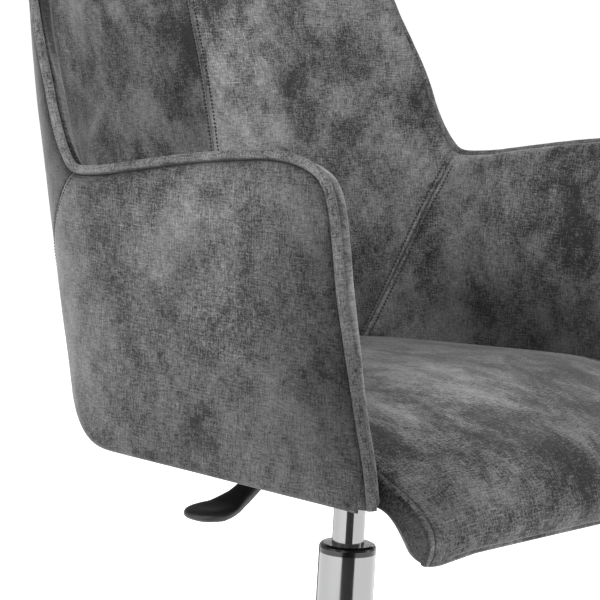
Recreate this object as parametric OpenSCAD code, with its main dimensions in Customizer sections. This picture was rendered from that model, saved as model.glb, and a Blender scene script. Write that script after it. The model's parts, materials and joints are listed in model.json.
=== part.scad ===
// Swivel office chair: upholstered tub shell on a gas lift with a five-star base on twin-wheel casters.
// Millimetres, +Z up, floor at z = 0, swivel axis on X = Y = 0, the sitter faces -Y.
// The sitter's left is +X and the sitter's right is -X.

/* [Shell] */
// Half width of the arms at armrest height
arm_half_w = 265.5; // [240:1:300]
// How far the arms draw in over the 200 mm below armrest height
arm_taper = 13.3; // [0:0.1:25]
// Rear of the shell behind the swivel axis at armrest height
back_depth = 220; // [180:1:260]
// Thickness of the outer upholstered panels
outer_t = 6; // [4:0.5:10]
// Thickness of the moulded shell frame
frame_t = 7; // [5:0.5:9]
// Thickness of the arms overall
arm_t = 25; // [20:0.5:34]
// Diameter of the piping round the rim
piping_d = 8.4; // [5:0.1:10]
// Gap between neighbouring upholstered pieces
gap = 0.3; // [0.2:0.05:0.6]

/* [Seat] */
// Half width of the seat cushion
seat_half_w = 231.5; // [200:1:240]
// Crown of the cushion above its side seam
seat_crown = 27; // [10:1:40]
// Underside of the plywood seat pan above the floor
pan_z = 400; // [380:1:430]
// Thickness of the plywood seat pan
pan_t = 12; // [9:1:18]

/* [Column] */
// Top of the outer column above the floor
column_top = 300; // [260:1:330]
// Outside diameter of the outer column
column_d = 50; // [45:1:60]
// Diameter of the gas cylinder
cylinder_d = 28; // [25:1:32]

/* [Base] */
// Distance from the swivel axis to each caster stem
stem_r = 305; // [270:1:340]
// Diameter of the caster wheels
wheel_d = 50; // [40:1:65]
// Width of one caster wheel
wheel_w = 15; // [10:1:20]
// Distance from caster stem to wheel axle
trail = 20; // [12:1:26]

/* [Hidden] */

fabric = [0.27, 0.27, 0.28];
fabric_dark = [0.2, 0.2, 0.21];
plywood = [0.72, 0.56, 0.36];
chrome = [0.85, 0.86, 0.88];
steel = [0.6, 0.61, 0.63];
black = [0.06, 0.06, 0.06];
eps = 0.02;

// ---------- shell surface ----------
// Middle line of the piping round the shell: [place along the plan curve, height].  Place 0 is the middle of the back,
// 1 is where the curved back runs into the straight arm, 2 is 250 mm further forward.
RIM = [[0, 886], [0.2, 885], [0.36, 880], [0.46, 869], [0.525, 850], [0.565, 825], [0.6, 795],
    [0.641, 757], [0.69, 725], [0.735, 695], [0.775, 660], [0.818, 637], [0.863, 626], [0.94, 627],
    [1.03, 632], [1.18, 639.5], [1.342, 647], [1.503, 653], [1.65, 657], [1.76, 655.5], [1.843, 649],
    [1.885, 638], [1.908, 622], [1.925, 598], [1.948, 556], [1.985, 513], [2.028, 465], [2.058, 433],
    [2.078, 400]];
corner = 12;
last = 28;
seam_s = 0.3;
front_s = 2.02;

// How far the shell leans back at a height, against armrest height
RECLINE = [[380, -68], [430, -51], [512, -25], [630, 0], [693, 16.5], [757, 29.5], [900, 58]];
// Thickness of the padded back on its centre line at a height
BACK_T = [[390, 30], [455, 31], [600, 40], [693, 40], [757, 30], [900, 24]];

function mix(a, b, t) = a + (b - a) * t;
function clamp(t) = min(max(t, 0), 1);
function ease(t) = clamp(t) * clamp(t) * (3 - 2 * clamp(t));
function half_w(z) = arm_half_w - arm_taper * max(0, 630 - z) / 200
    + 5.5 * clamp((z - 630) / 127) * 1.27;
function lean(z) = lookup(z, RECLINE);
function cubic(a, b, c, d, t) = pow(1 - t, 3) * a + 3 * pow(1 - t, 2) * t * b
    + 3 * (1 - t) * t * t * c + pow(t, 3) * d;
function plan_x(s, z) = s > 1 ? half_w(z)
    : cubic(0, 172 + 24 * ease((z - 430) / 240), half_w(z), half_w(z), s);
function plan_y(s, z) = s > 1 ? 50 - (s - 1) * 250
    : cubic(back_depth + lean(z), back_depth + lean(z), 178 + 0.8 * lean(z), 50, s);
function unit(v) = v / norm(v);
function across(a, b) = unit([b[1] - a[1], a[0] - b[0]]);
function outward(s, z) = s < 0.002 ? [0, 1]
    : across([plan_x(s, z), plan_y(s, z)], [plan_x(s - 0.002, z), plan_y(s - 0.002, z)]);
// Point at a depth inside the outer surface
function at(s, z, depth) = [plan_x(s, z) - outward(s, z)[0] * depth,
    plan_y(s, z) - outward(s, z)[1] * depth, z];
function shell_t(s, z) = mix(lookup(z, BACK_T), arm_t - 6.5 * ease((560 - z) / 100),
    ease((s - 0.35) / 0.5));
function base_z(s) = mix(403, 399, clamp((s - 0.3) / 0.7)) - 3.2 * clamp(s - 1);
function bottom_r(s) = mix(28, 6, ease((s - 0.54) / 0.44)) - 2.4 * clamp(s - 1);

// Smooth curve through the rim points
function rim_at(q) = let(i = min(floor(q), last - 1), t = q - i,
    b = RIM[i], c = RIM[i + 1],
    a = i > 0 ? RIM[i - 1] : 2 * b - c,
    d = i < last - 1 ? RIM[i + 2] : 2 * c - b)
    0.5 * (2 * b + (c - a) * t + (2 * a - 5 * b + 4 * c - d) * t * t
    + (3 * b - a - 3 * c + d) * t * t * t);
// Foot of the line that drops from the rim at q
function foot_s(q) = q <= corner ? seam_s * pow(q / corner, 0.8)
    : mix(seam_s, front_s, pow((q - corner) / (last - corner), 0.9));
// Place and height a share k of the way down the line from the rim at q to height low
function drop(q, k, low, bulge) = let(r = rim_at(q), f = foot_s(q))
    [mix(r[0], f, k) + bulge * sin(180 * k) * sin(90 * (q <= corner ? q / corner
    : clamp(1 - (q - corner) / 8))), mix(r[1], low, k)];
// Length of that line, and its share that leads straight away from the rim
function drop_len(q, low) = let(r = rim_at(q), f = foot_s(q))
    norm(at(r[0], r[1], 0) - at(f, low, 0));
function away(q, low) = let(r = rim_at(q), a = rim_at(max(q - 0.05, 0)), b = rim_at(min(q + 0.05, last)),
    d = drop(q, 0.08, low, 0), rim_dir = unit(at(b[0], b[1], 0) - at(a[0], a[1], 0)),
    line_dir = unit(at(d[0], d[1], 0) - at(r[0], r[1], 0)))
    max(0.3, norm(cross(rim_dir, line_dir)));

back_q = [for (i = [0:14]) corner * i / 14];
arm_q = [for (i = [0:22]) corner + (last - corner) * i / 22];
inner_bulge = 0.055;
outer_bulge = -0.03;
outer_near = [5, 7, 10, 13.9, 14, 20];
inner_near = [1.5, 4, 8, 13.9, 14, 20];
rows_n = 8;
// Shares of the way down: a few rows close to the rim, then even rows
function shares(q, low, near) = let(l = drop_len(q, low) * away(q, low), c = min(1, 0.55 * l / 20))
    concat([for (d = near) d * c / l], [for (j = [1:rows_n]) mix(20 * c / l, 1, j / rows_n)]);

function flip(p, side) = [p[0] * side, p[1], p[2]];

// Closed solid between two grids of points; the first grid is the outer face
module slab(a, b) {
    m = len(a);
    n = len(a[0]);
    pts = [for (g = [a, b]) for (r = g) for (p = r) p];
    function id(g, i, j) = (g * m + i) * n + j;
    skin = [for (i = [0:m - 2]) for (j = [0:n - 2]) for (f = [
        [id(0, i, j), id(0, i, j + 1), id(0, i + 1, j + 1)],
        [id(0, i, j), id(0, i + 1, j + 1), id(0, i + 1, j)],
        [id(1, i, j), id(1, i + 1, j + 1), id(1, i, j + 1)],
        [id(1, i, j), id(1, i + 1, j), id(1, i + 1, j + 1)]]) f];
    ends = [for (j = [0:n - 2]) for (f = [
        [id(0, 0, j), id(1, 0, j), id(1, 0, j + 1)],
        [id(0, 0, j), id(1, 0, j + 1), id(0, 0, j + 1)],
        [id(0, m - 1, j), id(1, m - 1, j + 1), id(1, m - 1, j)],
        [id(0, m - 1, j), id(0, m - 1, j + 1), id(1, m - 1, j + 1)]]) f];
    sides = [for (i = [0:m - 2]) for (f = [
        [id(0, i, 0), id(1, i + 1, 0), id(1, i, 0)],
        [id(0, i, 0), id(0, i + 1, 0), id(1, i + 1, 0)],
        [id(0, i, n - 1), id(1, i, n - 1), id(1, i + 1, n - 1)],
        [id(0, i, n - 1), id(1, i + 1, n - 1), id(0, i + 1, n - 1)]]) f];
    polyhedron(points = pts, faces = concat(skin, ends, sides), convexity = 8);
}

// Mirror a grid to the other side, keeping its faces outward
module sided(side) {
    if (side > 0) children();
    else mirror([1, 0, 0]) children();
}

// ---------- outer panels ----------
function turn_under(s, low, depth) = [for (a = [22.5:22.5:90])
    let(r = bottom_r(s), e = r - depth)
    at(s, low + r - e * sin(a), r - e * cos(a))];
function outer_column(q, depth, push) = let(f = foot_s(q), low = base_z(f) + bottom_r(f),
    ks = shares(q, low, outer_near))
    concat([for (k = ks) let(d = drop(q, k, low, outer_bulge)) at(max(d[0] + push, 0), d[1], depth)],
        turn_under(f + push, base_z(f), depth));

module outer_back_panel() {
    half0 = [for (i = [0:14]) outer_column(back_q[i], 0, i == 14 ? -0.001 : 0)];
    half1 = [for (i = [0:14]) outer_column(back_q[i], outer_t, i == 14 ? -0.001 : 0)];
    full0 = concat([for (i = [14:-1:1]) [for (p = half0[i]) flip(p, -1)]], half0);
    full1 = concat([for (i = [14:-1:1]) [for (p = half1[i]) flip(p, -1)]], half1);
    color(fabric) slab(full0, full1);
}

module outer_arm_panel(side) {
    a = [for (i = [0:22]) outer_column(arm_q[i], 0, i == 0 ? 0.001 : 0)];
    b = [for (i = [0:22]) outer_column(arm_q[i], outer_t, i == 0 ? 0.001 : 0)];
    color(fabric) sided(side) slab(a, b);
}

// ---------- frame ----------
function frame_column(q, depth) = let(f = foot_s(q), low = base_z(f) + bottom_r(f) + 1,
    ks = shares(q, low, outer_near))
    [for (j = [4:len(ks) - 1]) let(d = drop(q, ks[j], low, outer_bulge)) at(d[0], d[1], depth)];

module shell_frame() {
    qs = concat(back_q, [for (i = [1:22]) arm_q[i]]);
    m = len(qs) - 1;
    a = [for (q = qs) frame_column(min(q, last - 0.4), outer_t + gap)];
    b = [for (q = qs) frame_column(min(q, last - 0.4), outer_t + gap + frame_t)];
    full0 = concat([for (i = [m:-1:1]) [for (p = a[i]) flip(p, -1)]], a);
    full1 = concat([for (i = [m:-1:1]) [for (p = b[i]) flip(p, -1)]], b);
    color(plywood) slab(full0, full1);
}

// ---------- inner pads ----------
pad_low = pan_z + pan_t + 1.5;
// The pad's rear face steps forward 10 mm below the rim, so its lip covers the frame's edge
function pad_rear(q, push) = let(ks = shares(q, pad_low, inner_near))
    [for (j = [0:len(ks) - 1]) let(d = drop(q, ks[j], pad_low, inner_bulge))
        at(max(d[0] + push, 0.0004), d[1], j < 3 ? outer_t + gap + 2.2 : outer_t + frame_t + 2.3)];
function pad_front(q, push) = let(ks = shares(q, pad_low, inner_near))
    [for (j = [0:len(ks) - 1]) let(d = drop(q, ks[j], pad_low, inner_bulge), t = shell_t(d[0], d[1]))
        at(max(d[0] + push, 0.0004), d[1], j == 0 ? mix(8.5, t, 0.45) : j == 1 ? mix(8.5, t, 0.8)
        : j == 2 ? mix(8.5, t, 0.95) : t)];

module inner_pad(qs, side, first_push, last_push) {
    m = len(qs) - 1;
    a = [for (i = [0:m]) pad_rear(qs[i], i == 0 ? first_push : i == m ? last_push : 0)];
    b = [for (i = [0:m]) pad_front(qs[i], i == 0 ? first_push : i == m ? last_push : 0)];
    sided(side) slab(a, b);
}

module inner_back_pad(side) {
    color(fabric) inner_pad(back_q, side, 0.001, -0.001);
}

module inner_arm_pad(side) {
    color(fabric) inner_pad(arm_q, side, 0.001, 0);
}

// ---------- piping ----------
piping_r = piping_d / 2;
function rim_point(q) = let(r = rim_at(q)) at(r[0], r[1], 2.2);
function ring(p, dir, side_dir) = let(n = unit(cross(dir, side_dir)), m = unit(cross(n, dir)))
    [for (a = [0:45:315]) p + piping_r * (cos(a) * n + sin(a) * m)];
module rim_piping() {
    half = [for (i = [0:58]) min(last * i / 58, last - 0.02)];
    path = concat([for (i = [58:-1:1]) flip(rim_point(half[i]), -1)], [for (q = half) rim_point(q)]);
    up = [for (i = [0:len(path) - 1])
        let(q = i < 58 ? half[58 - i] : half[i - 58], r = rim_at(q), o = outward(r[0], r[1]))
        [o[0] * (i < 58 ? -1 : 1), o[1], 0]];
    n = len(path);
    rings = [for (i = [0:n - 1])
        let(d = unit(path[min(i + 1, n - 1)] - path[max(i - 1, 0)]))
        ring(path[i], d, up[i])];
    pts = [for (r = rings) for (p = r) p];
    walls = [for (i = [0:n - 2]) for (j = [0:7]) for (f = [
        [i * 8 + j, (i + 1) * 8 + (j + 1) % 8, (i + 1) * 8 + j],
        [i * 8 + j, i * 8 + (j + 1) % 8, (i + 1) * 8 + (j + 1) % 8]]) f];
    caps = [[for (j = [7:-1:0]) j], [for (j = [0:7]) (n - 1) * 8 + j]];
    color(fabric) polyhedron(points = pts, faces = concat(walls, caps), convexity = 10);
}

// ---------- seat ----------
// Side seam of the cushion from the lip round to the rear: [y, z, share of crown forward, upward]
LIP_TOP = [[-257, 364, 0, 0], [-261.5, 372, 0.35, 0.05], [-262, 381, 0.45, 0.2], [-258.5, 390, 0.42, 0.42],
    [-252, 397, 0.38, 0.6], [-243, 404, 0.3, 0.75], [-230, 411.5, 0.2, 0.84], [-212, 420, 0.1, 0.78],
    [-188, 433, 0, 0.59]];
LIP_LOW = [[-250, 363], [-244.5, 366.5], [-240, 371], [-236, 376], [-231.5, 381], [-225, 387], [-218, 392],
    [-210, 397], [-199.2, 400]];
SEAM_Z = [[-188, 433], [-150, 447], [-100, 456], [-50, 456], [0, 452], [60, 446.5], [130, 442], [200, 438]];
// Share of the crown above that seam, from front to rear: [y, share]
CROWN_SHARE = [[-188, 0.59], [-150, 0.37], [-100, 0.26], [-50, 0.33], [0, 0.44], [60, 0.57], [130, 0.59],
    [200, 0.52]];
seat_s = [0, 0.1, 0.2, 0.3, 0.4, 0.5, 0.58, 0.66, 0.73, 0.79, 0.85, 1];
lengthways = [0, 0.18, 0.36, 0.54, 0.72, 0.88, 1];

// Rear edge of the cushion against the inner pads, and its distance from the middle
function seat_rear(s, z, clear) = at(s, z, shell_t(s, z) + clear);
function seat_x(s) = seat_rear(s, 438, 1)[0] * seat_half_w / seat_rear(1, 438, 1)[0];
function crown(x) = seat_crown * pow(max(0, 1 - pow(x / seat_half_w, 2.6)), 0.8);
function cushion_top(s) = let(x = seat_x(s), rear = seat_rear(s, 438, 1)[1], c = crown(x))
    concat([for (p = LIP_TOP) [x, p[0] - p[2] * c, p[1] + p[3] * c]],
    [for (f = lengthways) if (f > 0) let(y = mix(-188, rear, f))
        [x, y, lookup(y, SEAM_Z) + c * lookup(y, CROWN_SHARE)]]);
function cushion_low(s) = let(x = seat_x(s), rear = seat_rear(s, 413, 3)[1])
    concat([for (p = LIP_LOW) [x, p[0], p[1]]],
    [for (f = lengthways) if (f > 0) [x, f < 0.2 ? -199.2 : mix(-188, rear, f), pan_z + pan_t + 0.4]]);

module seat_cushion() {
    a = [for (s = seat_s) cushion_top(s)];
    b = [for (s = seat_s) cushion_low(s)];
    n = len(seat_s) - 1;
    top = concat([for (i = [n:-1:1]) [for (p = a[i]) flip(p, -1)]], a);
    low = concat([for (i = [n:-1:1]) [for (p = b[i]) flip(p, -1)]], b);
    color(fabric) slab(top, low);
}

module seat_outline(inset, z) {
    half = [for (s = [0:0.1:1]) at(s, z, max(15, bottom_r(s) + 1.4) + inset)];
    x = half[10][0];
    pts = concat([for (i = [10:-1:1]) [-half[i][0], half[i][1]]], [for (p = half) [p[0], p[1]]],
        [[x, -198.6 + inset], [-x, -198.6 + inset]]);
    polygon(pts);
}

bolt_x = 80;
bolt_y = 100;
module four_bolts() {
    for (x = [-bolt_x, bolt_x])
        for (y = [-bolt_y, bolt_y])
            translate([x, y, 0]) children();
}

module seat_pan() {
    color(plywood) translate([0, 0, pan_z]) linear_extrude(pan_t) difference() {
        seat_outline(0, pan_z);
        four_bolts() circle(r = 4.55, $fn = 32);
    }
}

module dust_cover() {
    color(black) translate([0, 0, pan_z - 1.4]) linear_extrude(1.1) difference() {
        seat_outline(2, pan_z);
        square([196, 236], center = true);
    }
}

// ---------- mechanism under the seat ----------
plate_z = pan_z - 0.3;
pivot = [-62, 0, 384];
module rounded(x, y, r, h) {
    linear_extrude(h) {
        square([x - 2 * r, y], center = true);
        square([x, y - 2 * r], center = true);
        for (i = [-1, 1])
            for (j = [-1, 1])
                translate([i * (x / 2 - r), j * (y / 2 - r)]) circle(r = r, $fn = 32);
    }
}

module seat_plate() {
    color(black) difference() {
        union() {
            translate([0, 0, plate_z - 2.5]) rounded(190, 230, 12, 2.5);
            // pressed housing round the cone
            translate([0, 0, plate_z - 48]) rounded(84, 120, 8, 46);
            // ears that carry the lever pivot
            for (y = [-1, 1])
                translate([-50, y * 9.6, plate_z - 14]) cube([34, 2.6, 24], center = true);
        }
        translate([0, 0, plate_z - 45.5]) rounded(79, 115, 6, 43.2);
        translate([0, 0, plate_z - 50]) cylinder(r = 18.05, h = 8, $fn = 64);
        four_bolts() translate([0, 0, plate_z - 5]) cylinder(r = 3.3, h = 10, $fn = 32);
        // slot the lever passes through
        translate([-42, 0, pivot[2] - 1]) cube([12, 16.4, 18], center = true);
        translate([pivot[0], 0, pivot[2]]) rotate([90, 0, 0])
            cylinder(r = 2.52, h = 40, center = true, $fn = 32);
    }
}

socket_low = plate_z - 52;
module cone_socket() {
    color(steel) difference() {
        union() {
            translate([0, 0, socket_low]) cylinder(r = 18, h = 24, $fn = 64);
            translate([0, 0, socket_low + 6.5]) cylinder(r = 22, h = 3, $fn = 64);
        }
        translate([0, 0, socket_low - 1]) cylinder(r1 = 14.1, r2 = 13.24, h = 26, $fn = 64);
    }
}

module plate_bolts() {
    color(steel) four_bolts() {
        translate([0, 0, plate_z - 2.5 - 1.6]) cylinder(r = 7, h = 1.55, $fn = 48);
        translate([0, 0, plate_z - 2.5 - 5.9]) cylinder(r = 5, h = 4.35, $fn = 6);
        translate([0, 0, plate_z - 2.6]) cylinder(r = 3, h = 14, $fn = 32);
    }
}

module tee_nuts() {
    color(steel) four_bolts() difference() {
        union() {
            translate([0, 0, pan_z + 2]) cylinder(r = 4.5, h = 9, $fn = 32);
            translate([0, 0, pan_z + pan_t - 1.3]) cylinder(r = 4.5, h = 1.3, $fn = 32);
        }
        translate([0, 0, pan_z]) cylinder(r = 3.02, h = 14, $fn = 32);
    }
}

module lever_pivot_pin() {
    color(steel) translate([pivot[0], 0, pivot[2]]) rotate([90, 0, 0]) {
        cylinder(r = 2.5, h = 26, center = true, $fn = 32);
        translate([0, 0, 12.2]) cylinder(r = 4, h = 1.6, $fn = 32);
    }
}

// Flat steel lever: an eye on the pivot, an arm over the release pin and a tang into the paddle
module lever_rod() {
    color(steel) difference() {
        union() {
            translate([pivot[0], 0, pivot[2]]) rotate([90, 0, 0])
                cylinder(r = 6.5, h = 15, center = true, $fn = 48);
            translate([pivot[0], 0, pivot[2]]) rotate([0, 90, 0]) cylinder(r = 4, h = 66, $fn = 32);
            translate([-66, 0, pivot[2]]) rotate([0, -90, 0]) cylinder(r = 4, h = 40, $fn = 32);
        }
        translate([pivot[0], 0, pivot[2]]) rotate([90, 0, 0])
            cylinder(r = 2.55, h = 40, center = true, $fn = 32);
    }
}

// Moulded paddle: side outline cut to the plan outline
module lever_paddle() {
    color(black) difference() {
        intersection() {
            rotate([90, 0, 0]) linear_extrude(60, center = true) polygon([[-84, 391], [-84, 377],
                [-108, 373], [-130, 361.5], [-146, 352.5], [-160, 347.5], [-186, 344.5], [-199, 345.5],
                [-205, 349], [-203, 353], [-192, 355.5], [-168, 358], [-150, 365], [-132, 375],
                [-112, 386]]);
            linear_extrude(500) union() {
                translate([-184, 0]) circle(r = 21, $fn = 64);
                polygon([[-184, -21], [-166, -17], [-150, -11.5], [-132, -9.5], [-84, -8], [-84, 8],
                    [-132, 9.5], [-150, 11.5], [-166, 17], [-184, 21]]);
            }
        }
        translate([-80, 0, pivot[2]]) rotate([0, -90, 0]) cylinder(r = 4.02, h = 27, $fn = 32);
    }
}

// ---------- gas lift ----------
cyl_r = cylinder_d / 2;
cyl_low = 132;
cyl_top = 371;
module release_pin() {
    color(steel) translate([0, 0, cyl_top - 10]) {
        cylinder(r = 3, h = 16.9, $fn = 32);
        translate([0, 0, 16.9]) cylinder(r1 = 3, r2 = 1.5, h = 2, $fn = 32);
    }
}

module gas_cylinder() {
    color(chrome) difference() {
        union() {
            translate([0, 0, cyl_low]) cylinder(r = cyl_r, h = socket_low - cyl_low, $fn = 64);
            translate([0, 0, socket_low]) cylinder(r1 = cyl_r, r2 = 13.2, h = cyl_top - socket_low, $fn = 64);
        }
        translate([0, 0, cyl_low - 1]) cylinder(r = 12, h = 210, $fn = 64);
        translate([0, 0, cyl_low]) cylinder(r = 3.05, h = 300, $fn = 32);
    }
}

module cylinder_seal() {
    color(black) translate([0, 0, cyl_low + 1]) difference() {
        cylinder(r = 11.98, h = 14, $fn = 64);
        translate([0, 0, -1]) cylinder(r = 5.05, h = 20, $fn = 48);
    }
}

module piston_rod() {
    color(chrome) {
        translate([0, 0, 80.1]) cylinder(r = 5, h = 165, $fn = 48);
        translate([0, 0, 61]) cylinder(r = 3.9, h = 30, $fn = 48);
    }
}

module piston_head() {
    color(black) translate([0, 0, 236]) difference() {
        cylinder(r = 11.93, h = 16, $fn = 64);
        translate([0, 0, -1]) cylinder(r = 5.02, h = 10.2, $fn = 48);
    }
}

module washer(z, r1, r2, h) {
    translate([0, 0, z]) difference() {
        cylinder(r = r1, h = h, $fn = 64);
        translate([0, 0, -1]) cylinder(r = r2, h = h + 2, $fn = 48);
    }
}

module bearing_lower_washer() {
    color(steel) washer(72.05, 13, 4, 2);
}

module bearing_balls() {
    color(steel) for (a = [0:45:315])
        rotate([0, 0, a]) translate([8.5, 0, 76.1]) sphere(r = 2, $fn = 24);
}

module bearing_upper_washer() {
    color(steel) washer(78.12, 13, 3.95, 1.9);
}

module bump_stop() {
    color(black) washer(80.1, 12, 5.02, 8);
}

module retaining_clip() {
    color(steel) washer(64.5, 8, 3.92, 2);
}

tube_r = column_d / 2;
module outer_column_tube() {
    color(chrome) difference() {
        translate([0, 0, 68]) cylinder(r = tube_r, h = column_top - 8 - 68, $fn = 96);
        translate([0, 0, 72]) cylinder(r = tube_r - 2, h = 300, $fn = 96);
        translate([0, 0, 60]) cylinder(r = 4, h = 30, $fn = 48);
    }
}

// Rolled top edge of the column
module column_collar() {
    color(chrome) translate([0, 0, column_top - 8]) rotate_extrude($fn = 96)
        polygon([[cyl_r + 0.3, 0], [tube_r, 0], [tube_r, 4.5], [tube_r - 0.5, 6.2], [tube_r - 1.6, 7.4],
            [tube_r - 3, 8], [cyl_r + 0.3, 8]]);
}

module guide_bushing() {
    color(black) washer(205, tube_r - 2.02, cyl_r + 0.05, column_top - 8.1 - 205);
}

// ---------- base ----------
hub_low = 60;
hub_top = 118;
module base_hub() {
    color(chrome) difference() {
        union() {
            translate([0, 0, hub_low]) cylinder(r = 31, h = hub_top - hub_low - 4, $fn = 96);
            translate([0, 0, hub_top - 4]) cylinder(r1 = 31, r2 = 28, h = 4, $fn = 96);
        }
        translate([0, 0, 68]) cylinder(r = tube_r + 0.02, h = 100, $fn = 96);
        translate([0, 0, 50]) cylinder(r = 12, h = 30, $fn = 48);
    }
}

function leg_angle(i) = 90 + 72 * i;
module each_leg() {
    for (i = [0:4]) rotate([0, 0, leg_angle(i)]) children();
}

module base_legs() {
    color(chrome) each_leg() difference() {
        intersection() {
            rotate([90, 0, 0]) linear_extrude(60, center = true) polygon([[20, 70], [29, 66], [120, 64.5],
                [220, 62], [325, 60], [325, 84], [300, 86.5], [220, 92], [120, 102.5], [50, 111], [20, 112]]);
            linear_extrude(200) union() {
                polygon([[20, -17.5], [120, -16], [220, -14], [stem_r, -13], [stem_r, 13], [220, 14],
                    [120, 16], [20, 17.5]]);
                translate([stem_r, 0]) circle(r = 13, $fn = 48);
            }
        }
        cylinder(r = 31.02, h = 300, center = true, $fn = 96);
        translate([stem_r, 0, 50]) cylinder(r = 7.52, h = 32, $fn = 48);
    }
}

module leg_end_sleeves() {
    color(black) each_leg() translate([stem_r, 0, 60.2]) difference() {
        cylinder(r = 7.5, h = 21.6, $fn = 48);
        translate([0, 0, -1]) cylinder(r = 5.52, h = 20, $fn = 48);
    }
}

// ---------- casters ----------
axle_z = wheel_d / 2;
stem_low = 38;
web = 13;
module caster_stems() {
    color(steel) each_leg() translate([stem_r, 0, 0]) {
        translate([0, 0, 59.9]) cylinder(r = 5.5, h = 18, $fn = 48);
        translate([0, 0, stem_low]) cylinder(r = 4, h = 24, $fn = 48);
    }
}

// Casters trail to one side of their legs, each at its own angle as they come to rest
TURN = [200, 128, 250, 75, 160];
function stem_xy(i) = stem_r * [cos(leg_angle(i - 1)), sin(leg_angle(i - 1))];
module at_caster(i) {
    translate([stem_xy(i)[0], stem_xy(i)[1], 0]) rotate([0, 0, TURN[i - 1]]) children();
}

module caster_hood(i) {
    color(black) at_caster(i) difference() {
        union() {
            // fender over both wheels
            translate([trail, 0, axle_z]) rotate([90, 0, 0])
                cylinder(r = wheel_d / 2 + 4.5, h = 2 * (web / 2 + wheel_w) + 3, center = true, $fn = 64);
            // web between the wheels and boss round the stem
            translate([-8, -web / 2, axle_z - 6]) cube([trail + 8, web, 32]);
            translate([0, 0, 50]) cylinder(r = 9, h = 7, $fn = 48);
        }
        difference() {
            translate([trail, 0, axle_z]) rotate([90, 0, 0])
                cylinder(r = wheel_d / 2 + 1.5, h = 100, center = true, $fn = 64);
            translate([trail - 50, -web / 2, 0]) cube([100, web, 100]);
        }
        // open below and in front of the wheels
        translate([trail - 60, -60, -60]) cube([120, 120, 60 + axle_z - 6]);
        translate([trail + 7, -60, -1]) cube([60, 120, axle_z + 12]);
        translate([0, 0, stem_low - 1]) cylinder(r = 4.06, h = 60, $fn = 48);
        translate([trail, 0, axle_z]) rotate([90, 0, 0]) cylinder(r = 4.01, h = 60, center = true, $fn = 48);
    }
}

module caster_axle(i) {
    color(steel) at_caster(i) translate([trail, 0, axle_z]) rotate([90, 0, 0])
        cylinder(r = 4, h = 2 * wheel_w + web, center = true, $fn = 48);
}

module caster_wheel(i, side) {
    w = wheel_w;
    r = wheel_d / 2;
    color(black) at_caster(i) translate([trail, side * (web / 2 + 0.3 + w / 2), axle_z]) rotate([side * 90, 0, 0])
        rotate_extrude($fn = 64) polygon([[4.05, -w / 2 + 3], [9, -w / 2 + 3], [10, -w / 2 + 6], [r - 7, -w / 2 + 4],
            [r - 5.5, -w / 2], [r - 2, -w / 2], [r, -w / 2 + 2], [r, w / 2 - 1.5], [r - 1.5, w / 2],
            [4.05, w / 2]]);
}

outer_back_panel();
outer_arm_panel(1);  // outer_arm_panel_left
outer_arm_panel(-1);  // outer_arm_panel_right
inner_back_pad(1);  // inner_back_pad_left
inner_back_pad(-1);  // inner_back_pad_right
inner_arm_pad(1);  // inner_arm_pad_left
inner_arm_pad(-1);  // inner_arm_pad_right
shell_frame();
rim_piping();
seat_cushion();
seat_pan();
dust_cover();
seat_plate();
cone_socket();
plate_bolts();
tee_nuts();
lever_pivot_pin();
lever_rod();
lever_paddle();
release_pin();
gas_cylinder();
cylinder_seal();
piston_rod();
piston_head();
bearing_upper_washer();
bearing_balls();
bump_stop();
retaining_clip();
bearing_lower_washer();
outer_column_tube();
column_collar();
guide_bushing();
base_hub();
base_legs();
leg_end_sleeves();
caster_stems();
caster_hood(1);  // caster_hood_1
caster_hood(2);  // caster_hood_2
caster_hood(3);  // caster_hood_3
caster_hood(4);  // caster_hood_4
caster_hood(5);  // caster_hood_5
caster_axle(1);  // caster_axle_1
caster_axle(2);  // caster_axle_2
caster_axle(3);  // caster_axle_3
caster_axle(4);  // caster_axle_4
caster_axle(5);  // caster_axle_5
caster_wheel(1, 1);  // caster_wheel_1_left
caster_wheel(2, 1);  // caster_wheel_2_left
caster_wheel(3, 1);  // caster_wheel_3_left
caster_wheel(4, 1);  // caster_wheel_4_left
caster_wheel(5, 1);  // caster_wheel_5_left
caster_wheel(1, -1);  // caster_wheel_1_right
caster_wheel(2, -1);  // caster_wheel_2_right
caster_wheel(3, -1);  // caster_wheel_3_right
caster_wheel(4, -1);  // caster_wheel_4_right
caster_wheel(5, -1);  // caster_wheel_5_right
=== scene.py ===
# Swivel office chair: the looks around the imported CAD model.
import bmesh
import bpy
import json
from math import cos, exp, hypot, pi, radians, sin
from mathutils import Matrix, Vector, kdtree, noise
from mathutils.geometry import intersect_point_line

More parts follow.
